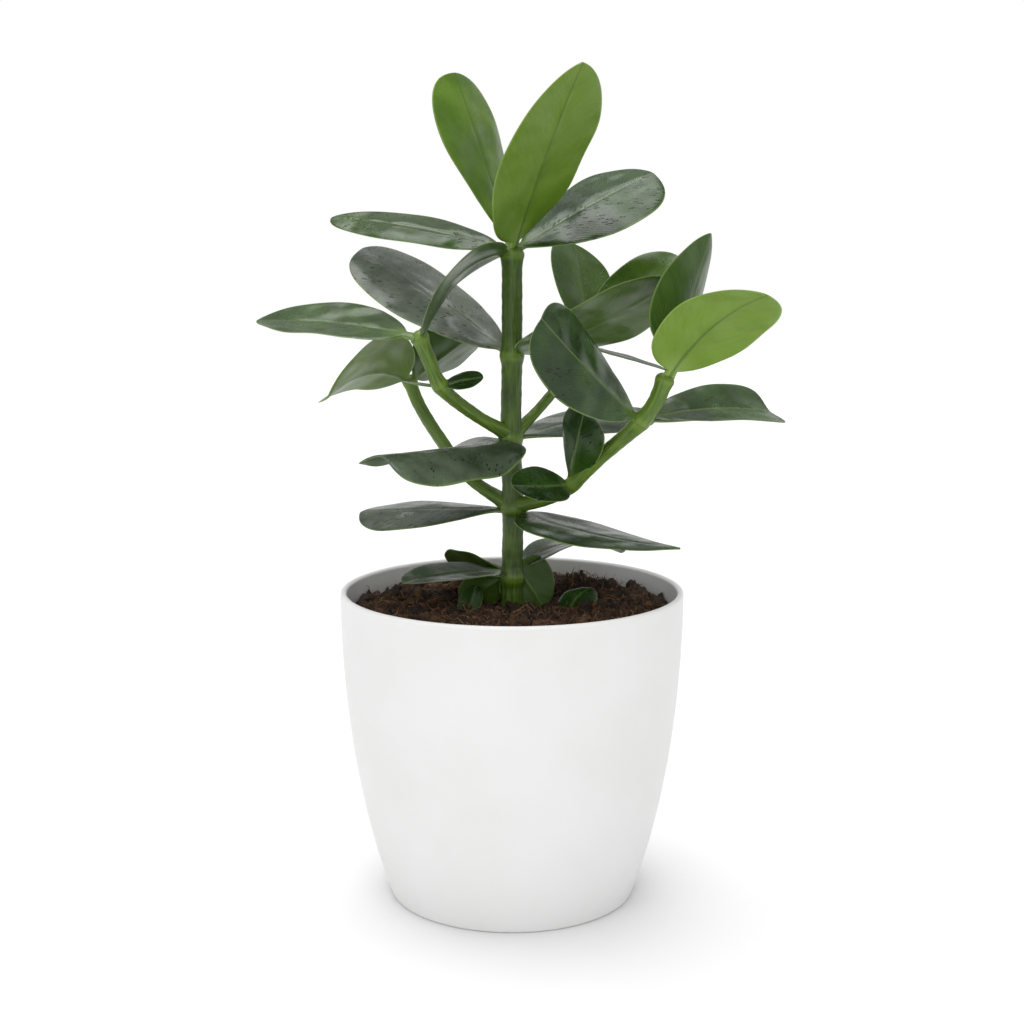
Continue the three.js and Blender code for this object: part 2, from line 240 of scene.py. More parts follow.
def stem_material():
    g = Graph("stem_green")
    along, around, joint = g.split(g.attribute("stem_place"))[:3]
    streaks = g.noise(g.join(g.math("MULTIPLY", along, 0.045), around, 0.0), 1.6, 4.0)
    grain = g.noise(g.join(g.math("MULTIPLY", along, 0.3), g.math("MULTIPLY", around, 3.0), 3.0), 2.0, 4.0)
    warts = g.noise(g.join(g.math("MULTIPLY", along, 0.8), g.math("MULTIPLY", around, 1.6), 9.0), 1.0, 2.0)
    youth = g.split(g.attribute("stem_look"))[0]
    dark = g.mix(youth, *STEM_DARK)
    light = g.mix(youth, *STEM_LIGHT)
    color = g.mix(g.fade(streaks, 0.28, 0.74), dark, light)
    color = g.mix(g.math("MULTIPLY", g.fade(grain, 0.58, 0.75), 0.3), color, STEM_GRAIN)
    color = g.mix(g.math("MULTIPLY", g.fade(joint, 0.2, 0.95), 0.4), color, STEM_JOINT)
    ring = g.math("MULTIPLY", g.fade(joint, 0.93, 0.99), g.fade(grain, 0.35, 0.6))
    color = g.mix(g.math("MULTIPLY", ring, 0.5), color, STEM_SCAR)
    color = g.mix(g.math("MULTIPLY", g.fade(warts, 0.7, 0.76), 0.6), color, STEM_WART)
    height = g.math("ADD", streaks, g.math("MULTIPLY", grain, 0.6))
    rough = g.math("MULTIPLY_ADD", grain, 0.2, 0.26)
    g.shader.inputs["Specular IOR Level"].default_value = 0.42
    return g.finish(color=color, roughness=rough, normal=g.bump(height, 0.0006, 0.5))


# A leaf's tones: body and patch for the upper side, under for the lower side, rib and margin for its lines.
# A leaf's freshness (0 to 1) moves its tones from the first set to the second.
OLD_LEAF = {
    "body": rgb(0.008, 0.026, 0.003),
    "patch": rgb(0.022, 0.062, 0.006),
    "under": rgb(0.048, 0.1, 0.014),
    "rib": rgb(0.09, 0.15, 0.035),
    "margin": rgb(0.14, 0.22, 0.05),
}
FRESH_LEAF = {
    "body": rgb(0.1, 0.21, 0.008),
    "patch": rgb(0.15, 0.275, 0.014),
    "under": rgb(0.15, 0.262, 0.014),
    "rib": rgb(0.035, 0.085, 0.006),
    "margin": rgb(0.25, 0.36, 0.09),
}
SPECK = rgb(0.006, 0.01, 0.005)
PAINTED_SHEEN_TONE = rgb(0.2, 0.215, 0.19)  # a painted grey sheen: a reflection painted into the colour of some full-grown leaves
VEIN_SPACING = 1.9  # mm
VEIN_SLANT = 1.5  # how far a side vein runs towards the tip for each mm outwards


def leaf_material(name, roughness, translucency):
    g = Graph(name)
    share, across, side = g.split(g.attribute("leaf_share"))[:3]
    along_mm, across_mm, seed = g.split(g.attribute("leaf_place"))[:3]
    # leaf_look holds a leaf's freshness and its amount of painted grey sheen, a reflection painted into the
    # colour
    freshness, painted_sheen = g.split(g.attribute("leaf_look"))[:2]
    tone = {key: g.mix(freshness, OLD_LEAF[key], FRESH_LEAF[key]) for key in OLD_LEAF}
    out = g.math("ABSOLUTE", across)
    out_mm = g.math("ABSOLUTE", across_mm)
    top = g.fade(side, -0.2, 0.2)
    spot = g.join(along_mm, across_mm, seed)

    # side veins: faint lines that slant from the midrib to the margin, and fade in and out
    warp = g.noise(spot, 0.07, 3.0)
    across_vein = g.math("SUBTRACT", along_mm, g.math("MULTIPLY", out_mm, VEIN_SLANT))
    across_vein = g.math("ADD", across_vein, g.math("MULTIPLY", warp, 9.0))
    wave = g.math("SINE", g.math("MULTIPLY", across_vein, 2 * math.pi / VEIN_SPACING))
    veins = g.math("MULTIPLY", g.fade(wave, 0.2, 1.0), g.fade(g.noise(spot, 0.12, 3.0), 0.4, 0.65))

    # broad patches, and streaks that run with the side veins
    cloud = g.noise(spot, 0.05, 3.0)
    along_vein = g.math("ADD", along_mm, out_mm)
    streak_spot = g.join(g.math("MULTIPLY", across_vein, 0.5), g.math("MULTIPLY", along_vein, 0.06), seed)
    streaks = g.noise(streak_spot, 0.7, 2.5)

    # specks: dark, slightly raised, longer along the side veins than across them
    half_seed = g.math("ADD", seed, g.math("SIGN", across))
    speck_row = g.math("MULTIPLY", across_vein, 0.42)
    speck_spot = g.join(speck_row, g.math("MULTIPLY", along_vein, 0.15), half_seed)
    cells = g.node("ShaderNodeTexVoronoi", {"Vector": speck_spot, "Scale": 1.0, "Randomness": 1.0})
    pick = g.split(cells.outputs["Color"])[0]
    dots = g.math("SUBTRACT", 1.0, g.fade(cells.outputs["Distance"], 0.2, 0.32))
    specks = g.math("MULTIPLY", dots, g.fade(pick, 0.4, 0.44))
    specks = g.math("MULTIPLY", specks, g.fade(g.noise(spot, 0.035, 2.0), 0.4, 0.5))
    aged = g.math("SUBTRACT", 1.0, g.fade(freshness, 0.1, 0.5))
    specks = g.math("MULTIPLY", specks, g.math("MULTIPLY", top, aged))

    # midrib: broad at the base, a fine line by the tip
    rib_width = g.math("MULTIPLY_ADD", share, -0.8, 1.3)
    rib = g.math("SUBTRACT", 1.0, g.fade(out_mm, g.math("MULTIPLY", rib_width, 0.3), rib_width))
    margin = g.fade(out, 0.955, 0.985)
    base_glow = g.math("MULTIPLY", g.fade(share, 0.25, 0.03), g.fade(out_mm, 9.0, 1.0))

    color = g.mix(g.fade(cloud, 0.38, 0.66), tone["body"], tone["patch"])
    color = g.mix(g.math("MULTIPLY", g.fade(streaks, 0.35, 0.8), 0.22), color, tone["patch"])
    under = g.mix(g.math("MULTIPLY", g.fade(cloud, 0.35, 0.65), 0.45), tone["under"], tone["patch"])
    under = g.mix(g.math("MULTIPLY", g.fade(streaks, 0.45, 0.7), 0.35), under, tone["body"])
    under = g.mix(g.math("MULTIPLY", veins, 0.12), under, tone["rib"])
    color = g.mix(top, under, color)
    color = g.mix(g.math("MULTIPLY", veins, 0.06), color, tone["margin"])
    color = g.mix(g.math("MULTIPLY", base_glow, 0.6), color, tone["margin"])
    color = g.mix(g.math("MULTIPLY", rib, 0.65), color, tone["rib"])
    # painted sheen: a grey reflection painted into the colour in broad patches, by each leaf's amount
    color = g.mix(g.math("MULTIPLY", painted_sheen, g.fade(cloud, 0.15, 0.6)), color, PAINTED_SHEEN_TONE)
    color = g.mix(g.math("MULTIPLY", margin, 0.8), color, tone["margin"])
    color = g.mix(g.math("MULTIPLY", specks, 0.85), color, SPECK)

    rough = g.math("MULTIPLY_ADD", cloud, 0.2, g.math("MULTIPLY_ADD", streaks, 0.07, roughness))
    rough = g.math("MULTIPLY_ADD", g.math("SUBTRACT", 1.0, top), 0.12, rough)
    swells = g.noise(spot, 0.045, 1.0)
    fine = g.noise(spot, 1.4, 3.0)
    relief = g.math("MULTIPLY_ADD", veins, 0.25, g.math("MULTIPLY", fine, 0.12))
    relief = g.math("MULTIPLY_ADD", streaks, 0.14, relief)
    relief = g.math("MULTIPLY_ADD", specks, 1.4, relief)
    normal = g.bump(relief, 0.00025, 0.8, g.bump(swells, 0.008, 0.6))
    g.shader.inputs["Subsurface Weight"].default_value = translucency
    g.shader.inputs["Subsurface Radius"].default_value = (0.002, 0.004, 0.001)
    g.shader.inputs["Specular IOR Level"].default_value = 0.37
    return g.finish(color=color, roughness=rough, normal=normal)


LEAF_MATERIALS = {
    "leaf": {"roughness": 0.12, "translucency": 0.04},
    "young_leaf": {"roughness": 0.2, "translucency": 0.1},
}


# ------------------------------------------------------------------ mesh helpers


def add_piece(name, points, faces, material, node=None, attributes=None):
    """A smooth mesh object at the origin, in metres, that rides on the part's one body."""
    mesh = bpy.data.meshes.new(name)
    mesh.from_pydata([tuple(p) for p in points], [], faces)
    mesh.validate()
    mesh.shade_smooth()
    for key, values in (attributes or {}).items():
        layer = mesh.attributes.new(key, "FLOAT_VECTOR", "POINT")
        layer.data.foreach_set("vector", np.asarray(values, dtype=np.float32).ravel())
    mesh.materials.append(material)
    piece = bpy.data.objects.new(name, mesh)
    bpy.context.collection.objects.link(piece)
    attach(piece, "root")
    if node:
        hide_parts(node)
    return piece


def tube_faces(rows, columns, start=0):
    """Quads of a closed tube whose rows are rings of points, with a flat cap at each end."""
    faces = []
    for i in range(rows - 1):
        for j in range(columns):
            k = (j + 1) % columns
            a, b = start + i * columns, start + (i + 1) * columns
            faces.append((a + j, a + k, b + k, b + j))
    faces.append(tuple(start + j for j in reversed(range(columns))))
    faces.append(tuple(start + (rows - 1) * columns + j for j in range(columns)))
    return faces


# ------------------------------------------------------------------ pot

POT_HEIGHT = 146
RIM_RADIUS = 80
FOOT_RADIUS = 57.5
POT_WALL = 3
POT_FLOOR = 4
FOOT_ROUNDING = 2
GROOVE = (24, 46, 1.2)  # inner and outer radius and depth, in the underside
INNER_ROUNDING = 7  # where the inside of the wall meets the floor
CAP_RADIUS = 0.4  # of the two small flat faces on the axis
POT_SEGMENTS = 192


def pot_radius(height):
    """Outside radius: a quarter of an ellipse, widest at the rim."""
    bulge = POT_HEIGHT / math.sqrt(1 - (FOOT_RADIUS / RIM_RADIUS) ** 2)
    return RIM_RADIUS * math.sqrt(1 - ((POT_HEIGHT - height) / bulge) ** 2)


def arc(centre, radius, start, end, steps):
    """Points on an arc, from one angle to another, in degrees."""
    angles = np.radians(np.linspace(start, end, steps))
    return [(centre[0] + radius * math.cos(a), centre[1] + radius * math.sin(a)) for a in angles]


def pot_profile():
    inner, outer, depth = GROOVE
    lip = POT_WALL / 2
    profile = [(CAP_RADIUS, 0), (inner - 3, 0), (inner - 1, 0.1), (inner, 0.3), (inner + 0.8, depth)]
    profile += [(outer - 0.8, depth), (outer, 0.3), (outer + 1, 0.1), (outer + 2, 0)]
    foot = pot_radius(FOOT_ROUNDING) - FOOT_ROUNDING
    profile += arc((foot, FOOT_ROUNDING), FOOT_ROUNDING, -90, -14, 7)
    heights = np.linspace(FOOT_ROUNDING + 0.6, POT_HEIGHT - lip - 0.3, 48)
    profile += [(pot_radius(h), h) for h in heights]
    profile += arc((RIM_RADIUS - lip, POT_HEIGHT - lip), lip, 0, 180, 13)
    wall_foot = POT_FLOOR + INNER_ROUNDING + 1
    heights = np.linspace(POT_HEIGHT - lip - 0.6, wall_foot, 32)
    profile += [(pot_radius(h) - POT_WALL, h) for h in heights]
    corner = pot_radius(wall_foot) - POT_WALL - INNER_ROUNDING
    profile += arc((corner, POT_FLOOR + INNER_ROUNDING), INNER_ROUNDING, 0, -90, 9)[1:]
    profile += [(corner * 0.5, POT_FLOOR), (CAP_RADIUS, POT_FLOOR)]
    return profile


def add_pot():
    profile = pot_profile()
    angles = np.linspace(0, 2 * math.pi, POT_SEGMENTS, endpoint=False)
    points = [(r * math.cos(a) * MM, r * math.sin(a) * MM, z * MM) for r, z in profile for a in angles]
    faces = tube_faces(len(profile), POT_SEGMENTS)
    add_piece("pot_shell", points, faces, pot_material(), "pot")


# ------------------------------------------------------------------ potting mix

SOIL_BELOW_RIM = 9.5
SOIL_LEVEL = POT_HEIGHT - SOIL_BELOW_RIM
SOIL_GAP = 0.6  # between the mix and the pot's wall
SOIL_FLOOR_GAP = 4
SOIL_EDGE_DEPTH = 8  # from the surface down to the first ring of the mix's side
SOIL_SIDE_RINGS = 8
SOIL_RINGS = 110
SOIL_SEGMENTS = 260
SWELL_HEIGHT = 0.9
COARSE_HEIGHT = 2.6
FINE_HEIGHT = 4.0
FINE_OFFSET = 0.7  # taken off the fine noise, which is never below 0
# Low heaps in the mix: x, y, spread and height
HEAPS = [(30, 40, 20, 6.0), (-46, 14, 18, 3.4), (54, -6, 16, 2.6), (4, -34, 24, 1.6), (-24, 46, 16, 3.0)]


def soil_height(x, y):
    """Height of the mix's surface in mm: broad swells, heaps, and crumbly ground."""
    swell = math.sin(x * 0.21 + 1.3) * math.cos(y * 0.17 - 0.6)
    swell += 0.6 * math.sin(x * 0.37 - y * 0.29 + 2.1)
    height = SOIL_LEVEL + swell * SWELL_HEIGHT
    for hx, hy, spread, rise in HEAPS:
        height += rise * math.exp(-((x - hx) ** 2 + (y - hy) ** 2) / spread**2)
    coarse = noise.fractal(Vector((x * 0.09, y * 0.09, 3.1)), 0.9, 2.1, 4)
    fine = noise.turbulence(Vector((x * 0.28, y * 0.28, 7.7)), 4, True)
    return height + COARSE_HEIGHT * coarse + FINE_HEIGHT * (fine - FINE_OFFSET)


def soil_radius(height):
    return pot_radius(min(height, POT_HEIGHT)) - POT_WALL - SOIL_GAP


def add_soil_bed():
    edge = soil_radius(SOIL_LEVEL)
    points = []
    angles = np.linspace(0, 2 * math.pi, SOIL_SEGMENTS, endpoint=False)
    ring_radii = [edge * (i + 0.5) / SOIL_RINGS for i in range(SOIL_RINGS)] + [edge]
    for radius in ring_radii:
        for a in angles:
            x, y = radius * math.cos(a), radius * math.sin(a)
            points.append((x * MM, y * MM, soil_height(x, y) * MM))
    for height in np.linspace(SOIL_LEVEL - SOIL_EDGE_DEPTH, POT_FLOOR + SOIL_FLOOR_GAP, SOIL_SIDE_RINGS):
        radius = soil_radius(height)
        points += [(radius * math.cos(a) * MM, radius * math.sin(a) * MM, height * MM) for a in angles]
    faces = [tuple(reversed(f)) for f in tube_faces(len(ring_radii) + SOIL_SIDE_RINGS, SOIL_SEGMENTS)]
    tints = np.zeros((len(points), 3))
    material = soil_material("coir_and_peat", rgb(0.012, 0.006, 0.003), rgb(0.15, 0.07, 0.03))
    add_piece("potting_mix_bed", points, faces, material, "potting_mix", {"tint": tints})


def ball(levels):
    """Points and faces of a round ball, to shape clods from."""
    shape = bmesh.new()
    bmesh.ops.create_icosphere(shape, subdivisions=levels, radius=1)
    points = np.array([v.co[:] for v in shape.verts])
    faces = [tuple(v.index for v in f.verts) for f in shape.faces]
    shape.free()
    return points, faces


def random_spot(rng, reach):
    """A random place on the mix, even over its area, in mm."""
    radius = reach * math.sqrt(rng.random())
    angle = rng.uniform(0, 2 * math.pi)
    return radius * math.cos(angle), radius * math.sin(angle)


def add_clods(name, material, count, sizes, seed, sink=0.35, detail=2):
    """Crumbs of the mix, each one a lumpy closed body. sink lowers them, as a share of half their size."""
    rng = random.Random(seed)
    unit, unit_faces = ball(detail)
    points, faces, tints = [], [], []
    for _ in range(count):
        size = rng.uniform(*sizes) * rng.uniform(0.5, 1.0)
        x, y = random_spot(rng, soil_radius(SOIL_LEVEL) - size - 1.5)
        shift = Vector((rng.uniform(0, 99), rng.uniform(0, 99), rng.uniform(0, 99)))
        stretch = np.array([rng.uniform(0.7, 1.5), rng.uniform(0.6, 1.1), rng.uniform(0.45, 0.9)])
        turn = rng.uniform(0, 2 * math.pi)
        lumps = [1 + 0.75 * noise.fractal(Vector(p) * 1.5 + shift, 0.6, 2.3, 4) for p in unit]
        body = unit * np.array(lumps)[:, None] * stretch * size
        spun_x = body[:, 0] * math.cos(turn) - body[:, 1] * math.sin(turn)
        spun_y = body[:, 0] * math.sin(turn) + body[:, 1] * math.cos(turn)
        height = soil_height(x, y) - sink * size * 0.5
        body = np.stack([spun_x + x, spun_y + y, body[:, 2] + height], axis=1)
        start = len(points)
        points.extend(map(tuple, body * MM))
        faces.extend(tuple(start + i for i in f) for f in unit_faces)
        tints.extend([(rng.uniform(-0.35, 0.45), 0, 0)] * len(body))
    add_piece(name, points, faces, material, attributes={"tint": tints})


def tube_mesh(path, radii, sides):
    """Rings of points round a path, and the path's own frames carried along it without twist."""
    path = np.asarray(path, dtype=float)
    tangents = np.gradient(path, axis=0)
    tangents /= np.linalg.norm(tangents, axis=1)[:, None]
    guide = np.array([0.0, 0.0, 1.0]) if abs(tangents[0][2]) < 0.8 else np.array([1.0, 0.0, 0.0])
    angles = np.linspace(0, 2 * math.pi, sides, endpoint=False)
    rings = []
    normal = guide
    for point, tangent, radius in zip(path, tangents, radii):
        normal = normal - tangent * np.dot(normal, tangent)
        normal /= np.linalg.norm(normal)
        side = np.cross(tangent, normal)
        rings.append(point + radius * (np.outer(np.cos(angles), normal) + np.outer(np.sin(angles), side)))
    return np.concatenate(rings)


FIBRE_RADIUS = 0.2
FIBRE_LIFT = 0.35  # of a fibre's middle line above the mix's surface


def add_fibres(name, material, count, lengths, seed, stand=0.25, steps=9, sides=6):
    """Loose coir fibres that lie on the mix, with their ends lifting by up to stand times their length."""
    rng = random.Random(seed)
    points, faces, tints = [], [], []
    for _ in range(count):
        length = rng.uniform(*lengths)
        x, y = random_spot(rng, soil_radius(SOIL_LEVEL) - length * 0.5 - 2)
        heading = rng.uniform(0, 2 * math.pi)
        bend = rng.uniform(-1.6, 1.6)
        lift = rng.uniform(0.0, stand) * length
        path = []
        for i in range(steps):
            t = i / (steps - 1)
            turn = heading + bend * (t - 0.5)
            px = x + (t - 0.5) * length * math.cos(turn)
            py = y + (t - 0.5) * length * math.sin(turn)
            path.append((px, py, soil_height(px, py) + FIBRE_LIFT + lift * max(0.0, t - 0.4) ** 1.3))
        tapers = [1 - 0.75 * (i / (steps - 1)) ** 2 for i in range(steps)]
        widths = [FIBRE_RADIUS * rng.uniform(0.8, 1.2) * taper for taper in tapers]
        start = len(points)
        points.extend(map(tuple, tube_mesh(path, widths, sides) * MM))
        faces.extend(tube_faces(steps, sides, start))
        tints.extend([(rng.uniform(-0.3, 0.5), 0, 0)] * (steps * sides))
    add_piece(name, points, faces, material, attributes={"tint": tints})


def add_potting_mix():
    add_soil_bed()
    crumb = soil_material("coir_crumbs", rgb(0.016, 0.008, 0.004), rgb(0.2, 0.095, 0.04), 300.0)
    fluff = soil_material("coir_fluff", rgb(0.03, 0.014, 0.006), rgb(0.25, 0.12, 0.05), 400.0)
    fibre = soil_material("coir_fibre", rgb(0.14, 0.07, 0.03), rgb(0.55, 0.34, 0.17), 500.0)
    chip = soil_material("pale_chips", rgb(0.16, 0.09, 0.04), rgb(0.4, 0.27, 0.13), 400.0)
    add_clods("potting_mix_clods", crumb, count=420, sizes=(1.6, 5.0), seed=11, detail=3)
    add_clods("potting_mix_crumbs", crumb, count=900, sizes=(0.5, 1.5), seed=12, sink=0.0)
    add_fibres("potting_mix_fibres", fibre, count=520, lengths=(6, 20), seed=13, stand=0.5)
    add_fibres("potting_mix_fluff", fluff, 3200, lengths=(2.5, 8), seed=16, stand=1.3, steps=7, sides=4)
    add_clods("potting_mix_chips", chip, count=26, sizes=(0.7, 1.6), seed=14, sink=0.1)
    add_fibres("potting_mix_root_hairs", chip, count=14, lengths=(9, 20), seed=15)


# ------------------------------------------------------------------ stems

# Heights of stems and leaves, in mm, are above the mix's mean level.
STEM_FOOT_DEPTH = 45
MAIN_STEM = {
    "points": [
        (0, 5, -STEM_FOOT_DEPTH),
        (0, 5, 13.5),
        (0.5, 5, 46.5),
        (-0.5, 5, 79.5),
        (0, 5, 117.5),
        (0, 5, 163.5),
        (0, 5, 168.5),
    ],
    "radii": (5.1, 4.7),
    "joints": [13.5, 46.5, 79.5, 117.5, 163.5],
}
BRANCHES = {
    "branch_low_left": {
        "points": [(0, 5, 47.5), (-19, 16, 58.5), (-34, 24, 76.5), (-45, 31, 93.5), (-50, 34, 106.5)],
        "radii": (3, 3.1),
        "joints": [103.5],
    },
    "branch_low_right": {
        "points": [
            (0, 5, 47.5),
            (17, -4, 52.5),
            (27, -10, 59.5),
            (40, -18, 73.5),
            (56, -28, 89.5),
            (63, -32, 99.5),
            (68, -34, 112.5),
        ],
        "radii": (2.8, 3.8),
        "joints": [59.5, 90.5, 110.5],
    },
    "branch_mid_left": {
        "points": [(0, 5, 80.5), (-17, -6, 91.5), (-32, -17, 105.5), (-37, -21, 117.5), (-42, -24, 130.5)],
        "radii": (2.7, 3.5),
        "joints": [105.5, 127.5],
    },
    "branch_mid_right": {
        "points": [(0, 5, 80.5), (10, 12, 89.5), (21, 20, 101.5), (37, 31, 122.5)],
        "radii": (2.4, 2.4),
        "joints": [119.5],
    },
}
NODE_SWELL = 0.24  # how much thicker a stem is at a joint, as a share of its radius
NODE_SPAN = 2.75  # how far from a joint that swelling has fallen to about a third
COLLAR_SPAN = 9  # the same, for the widening at a branch's foot
UNEVENNESS = 0.025
CURVE_STEPS = 24  # between two points of a stem


def smooth_path(points, steps):
    """Evenly spaced points on a centripetal Catmull-Rom curve through the given ones."""
    p = np.array(points, dtype=float) + (0, 0, SOIL_LEVEL)
    p = np.vstack([2 * p[0] - p[1], p, 2 * p[-1] - p[-2]])
    curve = []
    for i in range(1, len(p) - 2):
        gaps = [np.linalg.norm(p[i + k] - p[i + k - 1]) ** 0.5 for k in range(3)]
        pull = []
        for k in (0, 1):
            before = (p[i + k] - p[i + k - 1]) / gaps[k]
            across = (p[i + k + 1] - p[i + k - 1]) / (gaps[k] + gaps[k + 1])
            after = (p[i + k + 1] - p[i + k]) / gaps[k + 1]
            pull.append((before - across + after) * gaps[1])
        for t in np.linspace(0, 1, CURVE_STEPS, endpoint=False):
            a = 2 * t**3 - 3 * t**2 + 1
            b = t**3 - 2 * t**2 + t
            c = -2 * t**3 + 3 * t**2
            d = t**3 - t**2
            curve.append(a * p[i] + b * pull[0] + c * p[i + 1] + d * pull[1])
    curve.append(p[-2])
    curve = np.array(curve)
    lengths = np.concatenate([[0], np.cumsum(np.linalg.norm(np.diff(curve, axis=0), axis=1))])
    even = np.linspace(0, lengths[-1], steps)
    return np.stack([np.interp(even, lengths, curve[:, k]) for k in range(3)], axis=1), even


def add_stem(name, stem, material, sides, collar, youth):
    """A round stem that thins along its length, swells at its joints and is rounded off at its ends.

    collar widens its foot, and youth (0 to 1) makes its green brighter.
    """
    rings = int(sum(stem["radii"]) * 12) + 60
    path, along = smooth_path(stem["points"], rings)
    total = along[-1]
    radii, closeness = [], []
    for point, distance in zip(path, along):
        share = distance / total
        radius = stem["radii"][0] + (stem["radii"][1] - stem["radii"][0]) * share
        offsets = [(point[2] - SOIL_LEVEL - z) / NODE_SPAN for z in stem["joints"]]
        near = max(math.exp(-(offset**2)) for offset in offsets)
        radius *= 1 + NODE_SWELL * near + collar * math.exp(-((distance / COLLAR_SPAN) ** 2))
        radius *= 1 + UNEVENNESS * math.sin(distance * 0.9) * math.sin(distance * 0.37 + 1)
        end = min(1.0, (total - distance) / (0.9 * radius) + 0.02, distance / (0.5 * radius) + 0.3)
        radii.append(radius * math.sqrt(1 - (1 - end) ** 2))
        closeness.append(near)
    points = tube_mesh(path, radii, sides)
    angles = np.linspace(0, 2 * math.pi, sides, endpoint=False)
    places = []  # along the stem, round it with no seam, and how close a joint is
    for distance, near in zip(along, closeness):
        places += [(distance, 2.2 * math.sin(a) + 1.3 * math.cos(2 * a + 1), near) for a in angles]
    looks = {"stem_place": places, "stem_look": np.full((len(places), 3), youth)}
    add_piece(name + "_bark", points * MM, tube_faces(len(path), sides), material, name, looks)


def add_stems():
    material = stem_material()
    add_stem("main_stem", MAIN_STEM, material, sides=40, collar=0.0, youth=0.1)
    for name, branch in BRANCHES.items():
        add_stem(name, branch, material, sides=28, collar=0.5, youth=0.75)


# ------------------------------------------------------------------ leaves

# Where leaves grow from, at or close to a joint
TOP = (0, 5, 164.5)
UPPER = (0, 5, 117.5)
MID = (0, 5, 78.5)
LOW = (0, 5, 45.5)
FOOT = (0, 5, 15.5)
LOW_LEFT_END = (-49, 33, 103.5)
MID_LEFT_JOINT = (-32, -17, 105.5)
MID_LEFT_END = (-42, -24, 127.5)
LOW_RIGHT_JOINT = (27, -10, 59.5)
LOW_RIGHT_FORK = (57, -28, 90.5)
LOW_RIGHT_END = (68, -34, 110.5)
MID_RIGHT_END = (37, 31, 119.5)

